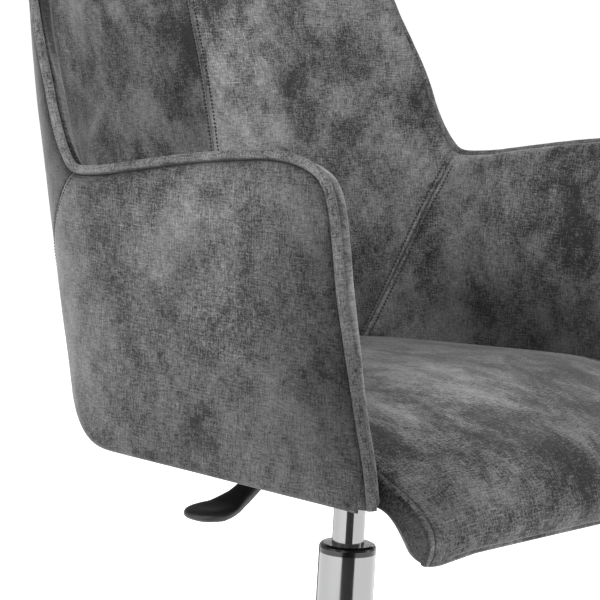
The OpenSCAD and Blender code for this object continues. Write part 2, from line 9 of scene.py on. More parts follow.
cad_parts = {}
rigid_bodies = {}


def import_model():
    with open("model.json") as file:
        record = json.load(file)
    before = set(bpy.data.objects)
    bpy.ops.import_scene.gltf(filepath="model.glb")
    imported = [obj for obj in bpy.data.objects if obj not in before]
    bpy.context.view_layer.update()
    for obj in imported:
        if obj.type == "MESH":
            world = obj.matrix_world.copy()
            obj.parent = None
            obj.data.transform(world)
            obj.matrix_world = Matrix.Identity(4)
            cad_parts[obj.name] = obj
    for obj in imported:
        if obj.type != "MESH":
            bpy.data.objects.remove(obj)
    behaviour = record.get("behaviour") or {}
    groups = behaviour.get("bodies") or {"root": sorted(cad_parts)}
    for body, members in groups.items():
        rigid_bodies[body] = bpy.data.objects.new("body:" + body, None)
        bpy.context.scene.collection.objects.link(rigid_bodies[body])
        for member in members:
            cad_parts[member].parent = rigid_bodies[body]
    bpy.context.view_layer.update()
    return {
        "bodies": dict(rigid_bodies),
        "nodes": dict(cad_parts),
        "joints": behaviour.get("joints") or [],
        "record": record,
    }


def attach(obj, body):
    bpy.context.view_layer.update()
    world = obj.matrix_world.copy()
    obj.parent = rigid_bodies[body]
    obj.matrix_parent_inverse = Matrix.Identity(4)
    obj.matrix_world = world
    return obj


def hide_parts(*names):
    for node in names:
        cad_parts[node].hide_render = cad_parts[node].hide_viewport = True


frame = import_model()
MM = 0.001

# ---------------------------------------------------------------- shell surface, in millimetres
# The same curves as the CAD shell: middle line of the piping as (place along the plan, height).
RIM = [(0, 886), (0.2, 885), (0.36, 880), (0.46, 869), (0.525, 850), (0.565, 825), (0.6, 795),
       (0.641, 757), (0.69, 725), (0.735, 695), (0.775, 660), (0.818, 637), (0.863, 626), (0.94, 627),
       (1.03, 632), (1.18, 639.5), (1.342, 647), (1.503, 653), (1.65, 657), (1.76, 655.5), (1.843, 649),
       (1.885, 638), (1.908, 622), (1.925, 598), (1.948, 556), (1.985, 513), (2.028, 465), (2.058, 433),
       (2.078, 400)]
CORNER = 12
LAST = 28
SEAM_S = 0.3
FRONT_S = 2.02
RECLINE = [(380, -68), (430, -51), (512, -25), (630, 0), (693, 16.5), (757, 29.5), (900, 58)]
BACK_T = [(390, 30), (455, 31), (600, 40), (693, 40), (757, 30), (900, 24)]
ARM_W = 265.5
ARM_START_Y = 50
ARM_RUN = 250
BACK_Y = 220
PAD_LOW = 413.5
PIPING_R = 3.9


def mix(a, b, t):
    return a + (b - a) * t


def clamp(t):
    return min(max(t, 0.0), 1.0)


def ease(t):
    t = clamp(t)
    return t * t * (3 - 2 * t)


def lookup(x, table):
    if x <= table[0][0]:
        return table[0][1]
    for (x0, y0), (x1, y1) in zip(table, table[1:]):
        if x <= x1:
            return mix(y0, y1, (x - x0) / (x1 - x0))
    return table[-1][1]


def smooth_lookup(x, table):
    """The table's value averaged over 48 mm, so that no kink shows between its rows."""
    return sum(lookup(x + d, table) for d in (-24, -12, 0, 12, 24)) / 5


def half_w(z):
    """Half the shell's width at a height."""
    return ARM_W - 13.3 * max(0, 630 - z) / 200 + 5.5 * clamp((z - 630) / 127) * 1.27


def plan(s, z):
    """Outer surface at a height; s is 0 at the middle of the back, 1 behind the arm and 2 near its front."""
    r = smooth_lookup(z, RECLINE)
    w = half_w(z)
    if s > 1:
        return w, ARM_START_Y - (s - 1) * ARM_RUN
    a, b, c, d = (1 - s) ** 3, 3 * (1 - s) ** 2 * s, 3 * (1 - s) * s * s, s ** 3
    x = b * (172 + 24 * ease((z - 430) / 240)) + (c + d) * w
    y = (a + b) * (BACK_Y + r) + c * (178 + 0.8 * r) + d * ARM_START_Y
    return x, y


def outward(s, z):
    """Level direction square to the outer surface."""
    if s < 0.002:
        return 0.0, 1.0
    x0, y0 = plan(s - 0.002, z)
    x1, y1 = plan(s, z)
    length = hypot(x1 - x0, y1 - y0)
    return -(y1 - y0) / length, (x1 - x0) / length


def at(s, z, depth):
    """Point at a depth inside the outer surface, on the sitter's left."""
    x, y = plan(s, z)
    nx, ny = outward(s, z)
    return Vector((x - nx * depth, y - ny * depth, z))


def shell_t(s, z):
    """Thickness of the upholstered shell."""
    return mix(smooth_lookup(z, BACK_T), 25 - 6.5 * ease((560 - z) / 100), ease((s - 0.35) / 0.5))


def rim_at(q):
    """Place and height of the rim at q, counted in points of RIM."""
    i = min(int(q), LAST - 1)
    t = q - i
    b, c = RIM[i], RIM[i + 1]
    a = RIM[i - 1] if i > 0 else (2 * b[0] - c[0], c[1])
    d = RIM[i + 2] if i < LAST - 1 else (2 * c[0] - b[0], 2 * c[1] - b[1])
    return tuple(0.5 * (2 * b[k] + (c[k] - a[k]) * t + (2 * a[k] - 5 * b[k] + 4 * c[k] - d[k]) * t * t
                        + (3 * b[k] - a[k] - 3 * c[k] + d[k]) * t ** 3) for k in (0, 1))


def foot_s(q):
    """Place where the line down from the rim at q ends."""
    if q <= CORNER:
        return SEAM_S * (q / CORNER) ** 0.8
    return mix(SEAM_S, FRONT_S, ((q - CORNER) / (LAST - CORNER)) ** 0.9)


def drop(q, k, low, bulge):
    """Place and height a share k of the way from the rim at q down to the height low.

    The bulge is how far the line bows along the plan in the middle.
    """
    r = rim_at(q)
    w = q / CORNER if q <= CORNER else clamp(1 - (q - CORNER) / 8)
    return (mix(r[0], foot_s(q), k) + bulge * sin(pi * k) * sin(pi / 2 * w), mix(r[1], low, k))


# ---------------------------------------------------------------- mesh helpers
def flip(p, side):
    return Vector((p[0] * side, p[1], p[2]))


def new_mesh(name, points, faces, material, uvs=None, painted_shadings=None):
    """Smooth mesh from points in millimetres.

    uvs are metres along the cloth, and the last list says how much darker the cloth is painted, one entry a
    point: painted shade, and below zero a painted highlight.
    """
    mesh = bpy.data.meshes.new(name)
    mesh.from_pydata([(p[0] * MM, p[1] * MM, p[2] * MM) for p in points], [], faces)
    mesh.validate()
    if uvs:
        layer = mesh.uv_layers.new(name="cloth")
        for loop in mesh.loops:
            layer.data[loop.index].uv = uvs[loop.vertex_index]
    # Painted shade and painted highlights go to a point attribute that the velvet reads.
    if painted_shadings:
        mesh.attributes.new("painted_shading", "FLOAT", "POINT").data.foreach_set("value", painted_shadings)
    work = bmesh.new()
    work.from_mesh(mesh)
    bmesh.ops.recalc_face_normals(work, faces=work.faces)
    work.to_mesh(mesh)
    work.free()
    mesh.polygons.foreach_set("use_smooth", [True] * len(mesh.polygons))
    mesh.materials.append(material)
    obj = bpy.data.objects.new(name, mesh)
    bpy.context.scene.collection.objects.link(obj)
    return obj


def grid_faces(m, n, start=0):
    return [(start + i * n + j, start + (i + 1) * n + j, start + (i + 1) * n + j + 1, start + i * n + j + 1)
            for i in range(m - 1) for j in range(n - 1)]


def slab(name, front, back, cloth, painted_shadings, material):
    """Closed piece between two grids of points of the same size."""
    m, n = len(front), len(front[0])
    points = [p for row in front for p in row] + [p for row in back for p in row]
    uvs = [c for row in cloth for c in row] * 2
    faces = grid_faces(m, n) + [f[::-1] for f in grid_faces(m, n, m * n)]
    border = ([(0, j) for j in range(n)] + [(i, n - 1) for i in range(1, m)]
              + [(m - 1, j) for j in range(n - 2, -1, -1)] + [(i, 0) for i in range(m - 2, 0, -1)])
    loop = [i * n + j for i, j in border]
    for a, b in zip(loop, loop[1:] + loop[:1]):
        faces.append((b, a, a + m * n, b + m * n))
    return new_mesh(name, points, faces, material, uvs, [c for row in painted_shadings for c in row] * 2)


def ring_faces(count, sides, base=0):
    """Skin over a count of rings whose points follow each other from base, closed at both ends."""
    faces = []
    for i in range(count - 1):
        a = base + i * sides
        b = a + sides
        for j in range(sides):
            k = (j + 1) % sides
            faces.append((a + j, a + k, b + k, b + j))
    last = base + (count - 1) * sides
    return faces + [tuple(range(base, base + sides))[::-1], tuple(range(last, last + sides))]


def rings_mesh(name, rings, cloth, material, painted_shadings=None):
    """Closed piece over rings of points of the same count."""
    points = [p for ring in rings for p in ring]
    uvs = [c for row in cloth for c in row]
    faces = ring_faces(len(rings), len(rings[0]))
    if painted_shadings:
        painted_shadings = [c for row in painted_shadings for c in row]
    return new_mesh(name, points, faces, material, uvs, painted_shadings)


def spread(first, count, total):
    """Distances that start close together and end evenly spaced at the total."""
    near = [d for d in first if d < 0.8 * total]
    return near + [mix(near[-1], total, (i + 1) / count) for i in range(count)]


# Length along the plan curve at armrest height, for the weave
PLAN_STEPS = 200
PLAN_LENGTH = [0.0]
for i in range(PLAN_STEPS):
    xa, ya = plan(i / PLAN_STEPS, 600)
    xb, yb = plan((i + 1) / PLAN_STEPS, 600)
    PLAN_LENGTH.append(PLAN_LENGTH[-1] + hypot(xb - xa, yb - ya))


def along(s):
    """Distance round the shell from the middle of the back."""
    if s >= 1:
        return PLAN_LENGTH[-1] + (s - 1) * ARM_RUN
    i = min(int(s * PLAN_STEPS), PLAN_STEPS - 1)
    return mix(PLAN_LENGTH[i], PLAN_LENGTH[i + 1], s * PLAN_STEPS - i)


def unevenness(u, z, seed, size):
    """Soft unevenness of stuffed cloth in millimetres."""
    a = noise.noise(Vector((u / 90, z / 90, seed)))
    b = noise.noise(Vector((u / 34, z / 34, seed + 7.3)))
    return size * (a + 0.35 * b)


class Seam:
    """A seam as a line of points, and how far other points lie from it."""

    def __init__(self, points):
        self.points = points
        self.tree = kdtree.KDTree(len(points))
        for i, p in enumerate(points):
            self.tree.insert(p, i)
        self.tree.balance()

    def distance(self, p):
        _, i, gap = self.tree.find(p)
        for a, b in ((i - 1, i), (i, i + 1)):
            if a >= 0 and b < len(self.points):
                near, t = intersect_point_line(p, self.points[a], self.points[b])
                if 0 <= t <= 1:
                    gap = min(gap, (near - p).length)
        return gap


def seam_drop(q, low, bulge, depth_of):
    """Points down the line from the rim at q."""
    points = []
    for i in range(401):
        s, z = drop(q, i / 400, low, bulge)
        points.append(at(s, z, depth_of(s, z)))
    return points


# ---------------------------------------------------------------- upholstered shell
# Distances of a column's first points from its start
NEAR = [0, 0.35, 0.8, 1.4, 2.2, 3.2, 4.6, 6.5, 9, 12, 16, 21, 28, 36]
INNER_BULGE = 0.055
OUTER_BULGE = -0.03
# Distance of each row of topstitching from its seam, and width of the pad's roll at the arm's rim
STITCH_GAP = 4.3
ROLL = 7.0
# Depth of the pad's edge under the outer surface, and the least depth that covers the plywood
PAD_START = 5.6
COVERING = 16.5
# Distances from the rim at which the inner and outer cloth start
INNER_START = 1.5
OUTER_START = 3.0
# Share of the pad's full thickness at a distance from the back's rim
THIN_EDGE = [(0, 0), (1.5, 0.06), (4, 0.14), (8, 0.27), (14, 0.41), (24, 0.56), (40, 0.76), (60, 0.93),
             (85, 1)]


def column_length(q, low):
    """Length of the line down the outer surface from the rim at q."""
    r = rim_at(q)
    return (at(r[0], r[1], 0) - at(foot_s(q), low, 0)).length


def slant(q, low):
    """How much further a column runs than straight away from the rim."""
    r, a, b = rim_at(q), rim_at(max(q - 0.05, 0)), rim_at(min(q + 0.05, LAST))
    s, z = drop(q, 0.08, low, 0)
    rim_way = (at(b[0], b[1], 0) - at(a[0], a[1], 0)).normalized()
    line_way = (at(s, z, 0) - at(r[0], r[1], 0)).normalized()
    return 1 / max(0.3, rim_way.cross(line_way).length)


def column_rows(q, low, start, count):
    """Distances down a column, each with its distance from the rim: close together near the rim."""
    length = column_length(q, low)
    k = slant(q, low)
    head = min(1, 0.5 * length / k / 36)
    return [(d, d / k) for d in spread([(start + d * head) * k for d in NEAR], count, length)]


def seam_profile(d):
    """Height of the cloth beside a topstitched seam, in millimetres."""
    painted_shading = -1.5 * exp(-(d / 0.9) ** 2)
    pull = -0.6 * exp(-((d - STITCH_GAP) / 1.0) ** 2)
    pillow = 2.4 * (1 - exp(-max(d - 3, 0) / 15)) - 1.3
    return painted_shading + pull + pillow


INNER_SEAMS = [Seam(seam_drop(0, PAD_LOW, INNER_BULGE, shell_t)),
               Seam(seam_drop(CORNER, PAD_LOW, INNER_BULGE, shell_t))]


def into_shell(q):
    """Direction along the outer surface from the rim at q straight away from it, on the sitter's left."""
    r, a, b = rim_at(q), rim_at(max(q - 0.05, 0)), rim_at(min(q + 0.05, LAST))
    s, z = drop(q, 0.06, PAD_LOW, 0)
    along_rim = (at(b[0], b[1], 0) - at(a[0], a[1], 0)).normalized()
    way = at(s, z, 0) - at(r[0], r[1], 0)
    return (way - along_rim * way.dot(along_rim)).normalized()


def inner_depth(s, z, from_rim):
    """Thickness at which the inner cloth lies: a roll at the arm's rim, a thin edge at the back's."""
    t = shell_t(s, z)
    rolled = thin = t
    if from_rim < ROLL:
        rolled = mix(PAD_START, t, (1 - (1 - from_rim / ROLL) ** 2.4) ** 0.55)
    if from_rim < THIN_EDGE[-1][0]:
        thin = mix(PAD_START, t, lookup(from_rim, THIN_EDGE))
        thin = max(thin, mix(PAD_START, COVERING, ease(from_rim / 12)))
    return mix(thin, rolled, ease((s - 0.62) / 0.5))


def seam_painted_shading(gap):
    """Painted shading beside a topstitched seam: painted shade in its ditch and at the stitch holes, a
    painted highlight on the ridge between.
    """
    ditch = 0.45 * exp(-(gap / 0.7) ** 2)
    ridge = -0.25 * exp(-((gap - 2.2) / 1.1) ** 2)
    return ditch + ridge + 0.1 * exp(-((gap - STITCH_GAP) / 0.8) ** 2)


def inner_point(s, z, from_rim, seams, seed):
    """Point of the inner cloth and its painted shading."""
    t = inner_depth(s, z, from_rim)
    gap = min(seam.distance(at(s, z, shell_t(s, z))) for seam in seams)
    roll = 1 - exp(-max(from_rim - 2, 0) / 9)
    t += roll * seam_profile(gap)
    t += roll * (1 - exp(-gap / 20)) * unevenness(along(s), z, seed, 1.4)
    on_back = 1 - ease((s - 0.62) / 0.5)
    # Painted shade close to the rim and, on the back, along its thin edge; a painted highlight on the arm
    # pad's roll; painted shading at the seams.
    painted_shading = 0.75 * exp(-from_rim / mix(0.7, 1.6, on_back)) + 0.2 * on_back * exp(-from_rim / 12)
    painted_shading -= 0.2 * (1 - on_back) * exp(-((from_rim - 3) / 2.5) ** 2)
    return at(s, z, t), painted_shading + roll * seam_painted_shading(gap)


def inner_pad(name, qs, side, seams, seed, material):
    """One pad of the inner shell, which rolls a little over the piping."""
    front, back, cloth, painted_shadings = [], [], [], []
    for q in qs:
        length = column_length(q, PAD_LOW)
        into = into_shell(q)
        over = mix(3.4, 0.6, ease((q - 17) / 4))
        line_f, line_b, line_c, line_painted_shading = [], [], [], []
        for d, from_rim in column_rows(q, PAD_LOW, INNER_START, 60):
            s, z = drop(q, d / length, PAD_LOW, INNER_BULGE)
            far = from_rim - INNER_START
            # Each point comes with its painted shade.
            p, painted_shading = inner_point(s, z, far, seams, seed)
            p -= into * (over * far / 2.5 * exp(1 - far / 2.5))
            line_f.append(flip(p, side))
            line_painted_shading.append(painted_shading)
            line_b.append(flip(at(s, z, 5.2 if from_rim < 14 else 15.4), side))
            line_c.append((side * along(s) * MM, z * MM))
        front.append(line_f)
        back.append(line_b)
        cloth.append(line_c)
        painted_shadings.append(line_painted_shading)
    return slab(name, front, back, cloth, painted_shadings, material)


def base_z(s):
    """Height of the outer covers' lower edge."""
    z = mix(403, 399, clamp((s - 0.3) / 0.7)) - 3.2 * clamp(s - 1)
    return z - 3.6 * (1 - ease((s - 0.47) / 0.2))


def bottom_r(s):
    """Radius at which the outer covers turn under: large round the rear corner, small along the arm."""
    r = mix(28, 6, ease((s - 0.54) / 0.44)) - 2.4 * clamp(s - 1)
    return r + 13 * exp(-((s - 0.62) / 0.16) ** 2)


def outer_low(q):
    foot = foot_s(q)
    return base_z(foot) + bottom_r(foot)


def outer_seam_points():
    low = outer_low(CORNER)
    return seam_drop(CORNER, low, OUTER_BULGE, lambda s, z: 0)


OUTER_SEAM = Seam(outer_seam_points())


def outer_depth(s, z, from_rim, gap, seed):
    """Outer cover: tucked in under the piping and at its seam, a little full between."""
    tuck = 2.9 * exp(-from_rim / 3.6) + 0.9 * exp(-(gap / 1.2) ** 2)
    full = (1 - exp(-from_rim / 30)) * (1 - exp(-gap / 40))
    return tuck - 1.2 * full + full * unevenness(along(s), z, seed, 0.9)


def outer_column(q, side, seed):
    """Points down the outside of the shell and under its edge: face, back, cloth places and painted shading.
    """
    foot = foot_s(q)
    r = bottom_r(foot)
    low = outer_low(q)
    length = column_length(q, low)
    front, back, cloth, painted_shadings = [], [], [], []
    gap = 99
    for d, from_rim in column_rows(q, low, OUTER_START, 60):
        s, z = drop(q, d / length, low, OUTER_BULGE)
        gap = OUTER_SEAM.distance(at(s, z, 0))
        near_rim = from_rim - OUTER_START
        # Painted shade under the piping and in the seam's ditch, a painted highlight beside the seam.
        painted_shadings.append(0.8 * exp(-near_rim / 2.4) + 0.28 * exp(-near_rim / 9) + 0.5 * exp(-(gap / 0.9) ** 2)
                       - 0.12 * exp(-((gap - 2) / 0.9) ** 2))
        front.append(flip(at(s, z, outer_depth(s, z, from_rim - OUTER_START, gap, seed)), side))
        back.append(flip(at(s, z, 5.9), side))
        cloth.append((side * along(s) * MM, z * MM))
    end = outer_depth(foot, low, 99, gap, seed)
    for i in range(1, 13):
        a = radians(90 * i / 12)
        e = r - end * (1 - i / 12)
        front.append(flip(at(foot, low - e * sin(a), r - e * cos(a)), side))
        e = max(r - 5.9, 0.1)
        back.append(flip(at(foot, low - e * sin(a), r - e * cos(a)), side))
        cloth.append((side * along(foot) * MM, (low - r * a) * MM))
        # Painted shade, darker towards the underside as the cover turns under.
        painted_shadings.append(0.3 * i / 12)
    return front, back, cloth, painted_shadings


def shares(first, last, count):
    """Places from first to last, closer together towards both ends."""
    return [mix(first, last, mix(i / count, ease(i / count), 0.75)) for i in range(count + 1)]


def outer_back(material):
    half = [outer_column(q, 1, 3.1) for q in shares(0, CORNER, 70)]
    other = [outer_column(q, -1, 3.1) for q in shares(0, CORNER, 70)[:0:-1]]
    return slab("back_cover", *zip(*(other + half)), material)


def outer_arm(name, side, seed, material):
    cols = [outer_column(q, side, seed) for q in shares(CORNER, LAST, 100)]
    return slab(name, *zip(*cols), material)


# ---------------------------------------------------------------- piping and thread
def path_frames(path, normals):
    """For each point of a path: the point, its direction, the surface normal and the way across."""
    out = []
    for i, p in enumerate(path):
        d = (path[min(i + 1, len(path) - 1)] - path[max(i - 1, 0)]).normalized()
        n = normals[i] - d * normals[i].dot(d)
        n.normalize()
        out.append((p, d, n, d.cross(n)))
    return out


def tube(name, path, normals, inward, radius, material, sides=24):
    """Lumpy cord along a path, with painted shade on the side where it lies against the covers."""
    rings, cloth, painted_shadings = [], [], []
    length = 0.0
    last = path[0]
    for (p, _, n, c), into in zip(path_frames(path, normals), inward):
        length += (p - last).length
        last = p
        ring, row, shade = [], [], []
        for j in range(sides):
            a = 2 * pi * j / sides
            lump = noise.noise(Vector((length / 11, cos(a), sin(a))))
            lump += 0.6 * noise.noise(Vector((length / 3.5, 2 * cos(a), 2 * sin(a))))
            r = radius + 0.16 * lump
            way = n * cos(a) + c * sin(a)
            ring.append(p + way * r)
            row.append((a * radius * MM, length * MM))
            # Painted shade where the cord faces into the covers.
            shade.append(0.75 * ease((way.dot(into) - 0.25) / 0.7))
        rings.append(ring)
        cloth.append(row)
        painted_shadings.append(shade)
    return rings_mesh(name, rings, cloth, material, painted_shadings)


# Rings of one thread, as (place along it, share of its thickness)
THREAD = ((-0.5, 0.3), (-0.3, 0.9), (0.0, 1.0), (0.3, 0.9), (0.5, 0.3))
THREAD_SIDES = 6


def thread_points(p, frame, x, height, size):
    """One short thread at a distance x beside a seam's point, its ends sinking into the cloth."""
    _, d, up, c = frame
    length, radius = size
    points = []
    for w, share in THREAD:
        sink = -0.9 * (abs(w) * 2) ** 3
        for j in range(THREAD_SIDES):
            a = 2 * pi * j / THREAD_SIDES
            points.append(p + c * (x + radius * share * sin(a)) + d * (w * length)
                          + up * (height + sink + radius * share * cos(a)))
    return points


def stitches(name, path, normals, offsets, height, material, pitch=3.5, size=(2.3, 0.85)):
    """Rows of short threads beside a seam; size is a thread's length and radius."""
    points, faces = [], []
    frames = path_frames(path, normals)
    length = 0.0
    step = pitch / 2
    for i in range(1, len(path)):
        p0, p1 = frames[i - 1][0], frames[i][0]
        seg = (p1 - p0).length
        while step <= length + seg:
            p = p0.lerp(p1, (step - length) / seg)
            for x in offsets:
                faces += ring_faces(len(THREAD), THREAD_SIDES, len(points))
                points += thread_points(p, frames[i], x, height, size)
            step += pitch
        length += seg
    return new_mesh(name, points, faces, material)


def surface_normal(place, s, z):
    """Normal of the surface place(s, z), by differences."""
    a = place(s + 0.004, z) - place(s - 0.004, z)
    b = place(s, z + 2) - place(s, z - 2)
    return a.cross(b).normalized()


def inner_seam_path(q, side):
    """Line of the inner seam that starts at the rim at q, with normals towards the sitter."""
    path, normals = [], []
    length = column_length(q, PAD_LOW)
    for i in range(200):
        d = mix(5, length - 3, i / 199)
        s, z = drop(q, d / length, PAD_LOW, INNER_BULGE)
        path.append(flip(at(s, z, inner_depth(s, z, d / slant(q, PAD_LOW) - INNER_START)), side))
        n = surface_normal(lambda u, v: at(u, v, shell_t(max(u, 0), v)), max(s, 0.004), z)
        o = outward(s, z)
        if n.dot(Vector((o[0], o[1], 0))) > 0:
            n = -n
        normals.append(flip(n, side))
    return path, normals


def outer_seam_path(side):
    """Line of the seam between the outer covers of the back and the arm."""
    low = outer_low(CORNER)
    path, normals = [], []
    for i in range(200):
        s, z = drop(CORNER, mix(0.03, 1, i / 199), low, OUTER_BULGE)
        path.append(flip(at(s, z, 0), side))
        o = outward(s, z)
        normals.append(Vector((o[0] * side, o[1], 0)))
    return path, normals


def rim_cord(material):
    """Piping round the whole rim, from one arm's front to the other's."""
    path, normals, inward = [], [], []
    steps = 260
    for i in range(-steps, steps + 1):
        q = (LAST - 0.02) * abs(i) / steps
        side = -1 if i < 0 else 1
        r = rim_at(q)
        path.append(flip(at(r[0], r[1], 2.2), side))
        o = outward(r[0], r[1])
        normals.append(Vector((o[0] * side, o[1], 0)))
        inward.append(flip(into_shell(q), side))
    return tube("rim_cord", path, normals, inward, PIPING_R, material)


# ---------------------------------------------------------------- seat cushion
SEAT_X = 231.5
CROWN = 27.0
PAN_TOP = 412.4
# Lip at the cushion's edge, as (y, z, share of the crown forwards, share of the crown upwards)
LIP_TOP = [(-259.5, 367.5, 0.3, 0.14), (-261.5, 372, 0.35, 0.16), (-262, 381, 0.45, 0.26),
           (-258.5, 390, 0.42, 0.44), (-252, 397, 0.38, 0.6), (-243, 404, 0.3, 0.75),
           (-230, 411.5, 0.2, 0.84), (-212, 420, 0.1, 0.78), (-188, 433, 0, 0.59)]
LIP_LOW = [(-255, 366.5), (-249.5, 368), (-243.5, 371.5), (-237.5, 379), (-231, 387), (-225, 392.8),
           (-218.8, 396.8), (-211, 399.3), (-199.2, 400)]
SEAM_Z = [(-212, 420), (-188, 433), (-150, 447), (-100, 456), (-50, 456), (0, 452), (60, 446.5), (130, 442),
          (200, 438)]
CROWN_SHARE = [(-212, 0.78), (-188, 0.59), (-150, 0.37), (-100, 0.26), (-50, 0.33), (0, 0.44), (60, 0.57),
               (130, 0.59), (200, 0.52)]
# Distance of the felled seam's stitch line from the cushion's edge, and how much painted shade darkens the
# side panels, which face the arm pads across a narrow gap
FELL = 6.2
PANEL_PAINTED_SHADE = 0.62
REAR_Z = 438


def curve_through(rows, t):
    """Smooth curve through rows of numbers at t, counted in rows."""
    i = min(int(t), len(rows) - 2)
    t -= i
    b, c = rows[i], rows[i + 1]
    a = rows[i - 1] if i > 0 else [2 * x - y for x, y in zip(b, c)]
    d = rows[i + 2] if i < len(rows) - 2 else [2 * y - x for x, y in zip(b, c)]
    return [0.5 * (2 * q + (r - p) * t + (2 * p - 5 * q + 4 * r - s) * t * t
                   + (3 * q - p - 3 * r + s) * t ** 3) for p, q, r, s in zip(a, b, c, d)]


def rear_edge(x, z, clear):
    """Rear edge of the cushion at a distance from the middle, against the inner pads."""
    lo, hi = 0.0, 1.0
    scale = at(1, REAR_Z, shell_t(1, REAR_Z) + 1)[0] / SEAT_X
    for _ in range(18):
        mid = (lo + hi) / 2
        if at(mid, REAR_Z, shell_t(mid, REAR_Z) + 1)[0] < abs(x) * scale:
            lo = mid
        else:
            hi = mid
    return at(lo, z, shell_t(lo, z) + clear)[1]


def crown_at(x):
    """Height of the cushion's crown above its side seams."""
    return CROWN * max(0.0, 1 - (abs(x) / SEAT_X) ** 2.6) ** 0.8


def corner_sag(x):
    """How far the lip hangs lower near its corners."""
    return 3.2 * exp(-((SEAT_X - 18 - abs(x)) / 17) ** 2)


def seat_station(v, x, rear_top, rear_low):
    """Top and underside points of the cushion at a place v from lip to rear and a distance x across."""
    c = crown_at(x)
    lips = len(LIP_TOP) - 1
    if v <= lips:
        p = curve_through(LIP_TOP, v)
        low = curve_through(LIP_LOW, v)
        sag = corner_sag(x) * clamp(1 - v / 3)
        swell = c * clamp(1 - v / 4)
        return ((p[0] - p[2] * c, p[1] + p[3] * c - sag),
                (low[0] - 0.3 * swell, low[1] + 0.14 * swell - sag))
    f = (v - lips) / 8
    y = mix(LIP_TOP[-1][0], rear_top, f)
    top = (y, smooth_lookup(y, SEAM_Z) + c * smooth_lookup(y, CROWN_SHARE))
    return top, (mix(LIP_LOW[-1][0], rear_low, f), mix(LIP_LOW[-1][1], PAN_TOP, clamp(f * 6)))


def round_lip(p, narrow, down):
    """Point of the lip's lower edge drawn in towards its middle line and lowered."""
    x = min(abs(p[0]), SEAT_X - 4 * (1 - narrow)) * (1 if p[0] > 0 else -1)
    c = crown_at(x)
    front = -257 - 0.3 * c
    low = 367 + 0.14 * c - corner_sag(x)
    return Vector((x, mix(front, p[1], narrow), mix(low, p[2], narrow) - 3.4 * down))


def edge_profile(d):
    """Height of the cloth beside the cushion's side edge: the felled seam's band and its stitch line."""
    band = 0.5 * exp(-((d - FELL / 2) / 2.0) ** 4)
    return band - 0.7 * exp(-((d - FELL) / 0.9) ** 2) - 0.6 * exp(-(d / 0.8) ** 2)


# Painted shade along the stitch line and at the cushion's edge, a painted highlight on the band between.
def edge_painted_shading(d):
    stitch_line = 0.7 * exp(-((d - FELL) / 0.9) ** 2)
    return stitch_line + 0.7 * exp(-(d / 1.3) ** 2) - 0.12 * exp(-((d - FELL / 2) / 1.8) ** 2)


def cushion_places():
    """Places of the rows from lip to rear, and of the points across, close together at the side edges."""
    lips = len(LIP_TOP) - 1
    vs = [lips * i / 40 for i in range(41)] + [lips + 8 * (i + 1) / 70 for i in range(70)]
    near_edge = [0, 0.8, 1.6, 2.6, 4, 5.4, 6.2, 7, 8.2, 10, 12.5, 16, 20, 26, 33, 41, 50]
    xs = [-SEAT_X + d for d in near_edge]
    xs += [mix(-SEAT_X + 50, SEAT_X - 50, (i + 1) / 40) for i in range(40)]
    xs += [SEAT_X - d for d in near_edge[-2::-1]]
    return vs, xs


def top_row(grid, xs, i, run):
    """Points, cloth places and painted shading across row i of the top; run holds the length of cloth so
    far.
    """
    ring, row, shade = [], [], []
    edge = clamp(i / 3) * clamp((len(grid) - 1 - i) / 4)
    for j, x in enumerate(xs):
        y, z = grid[i][j][0]
        ya, za = grid[max(i - 1, 0)][j][0]
        yb, zb = grid[min(i + 1, len(grid) - 1)][j][0]
        run[j] += hypot(y - ya, z - za)
        length = hypot(yb - ya, zb - za) or 1
        ny, nz = -(zb - za) / length, (yb - ya) / length
        d = SEAT_X - abs(x)
        h = edge_profile(d)
        h += 1.2 * (1 - exp(-max(d - FELL, 0) / 25)) * (1 if i > 0 else 0)
        h += min(d / 60, 1) * unevenness(x, run[j], 11.0, 1.6)
        ring.append(Vector((x, y + ny * h * edge, z + nz * h * edge)))
        row.append((x * MM, run[j] * MM))
        shade.append(edge_painted_shading(d))
    return ring, row, shade


def side_wall(top, low, side, run):
    """Points of the side panel from the top's edge down to the underside's, each with its cloth place."""
    (yt, zt), (yl, zl) = top, low
    wall = []
    for k in range(1, 8):
        t = k / 8
        puff = 1.1 * sin(pi * t) * min(1, hypot(yt - yl, zt - zl) / 20)
        wall.append((Vector((side * (SEAT_X + puff - 0.6), mix(yt, yl, t), mix(zt, zl, t))),
                     (side * (SEAT_X + 40 * t) * MM, run * MM)))
    return wall


def cushion(material):
    """Closed cushion as rings round it, one for each row from the lip to the rear."""
    vs, xs = cushion_places()
    rears = [(rear_edge(x, REAR_Z, 1), rear_edge(x, 413, 3)) for x in xs]
    grid = [[seat_station(v, x, *rears[j]) for j, x in enumerate(xs)] for v in vs]
    rings, cloth, painted_shadings = [], [], []
    run = [0.0] * len(xs)
    for i, stations in enumerate(grid):
        ring, row, shade = top_row(grid, xs, i, run)
        left = side_wall(*stations[-1], 1, run[-1])
        right = side_wall(*stations[0], -1, run[0])
        under = [(Vector((x, *stations[j][1])), (x * MM, -0.1)) for j, x in enumerate(xs)]
        # The side panels get painted shade, the underside none.
        for part, painted_shading in ((left, PANEL_PAINTED_SHADE), (under[::-1], 0.0), (right[::-1], PANEL_PAINTED_SHADE)):
            ring += [point for point, _ in part]
            row += [place for _, place in part]
            shade += [painted_shading] * len(part)
        rings.append(ring)
        cloth.append(row)
        painted_shadings.append(shade)
    lip = rings[0]
    for i in range(1, 6):
        a = radians(17 * i)
        rings.insert(0, [round_lip(p, cos(a), sin(a)) for p in lip])
        cloth.insert(0, cloth[0])
        painted_shadings.insert(0, painted_shadings[0])
    return rings_mesh("seat_cover", rings, cloth, material, painted_shadings)


